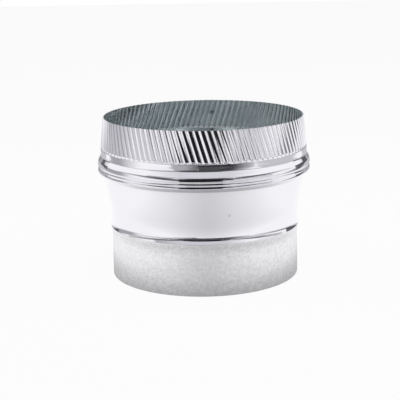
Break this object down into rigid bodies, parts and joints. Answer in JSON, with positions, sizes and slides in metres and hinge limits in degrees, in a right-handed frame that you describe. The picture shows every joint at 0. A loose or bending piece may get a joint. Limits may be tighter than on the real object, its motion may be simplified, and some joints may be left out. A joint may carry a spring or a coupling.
{
  "type": "duct taper increaser",
  "caption": "Galvanised round duct increaser: a plain small end, a smooth taper between rolled beads and a crimped large end.",
  "frame": {"origin": "centre of the plain end's rim, on the surface the part stands on", "axes": "+Z along the duct axis from the plain small end up to the crimped large end; +Y is the side with the lap seam, -Y the front"},
  "size_m": [0.2594, 0.2599, 0.195],
  "materials": {
    "galvanised_steel": "hot-dip galvanised with faint spangle"
  },
  "bodies": {
    "root": {"increaser_body": "galvanised_steel"}
  },
  "joints": []
}
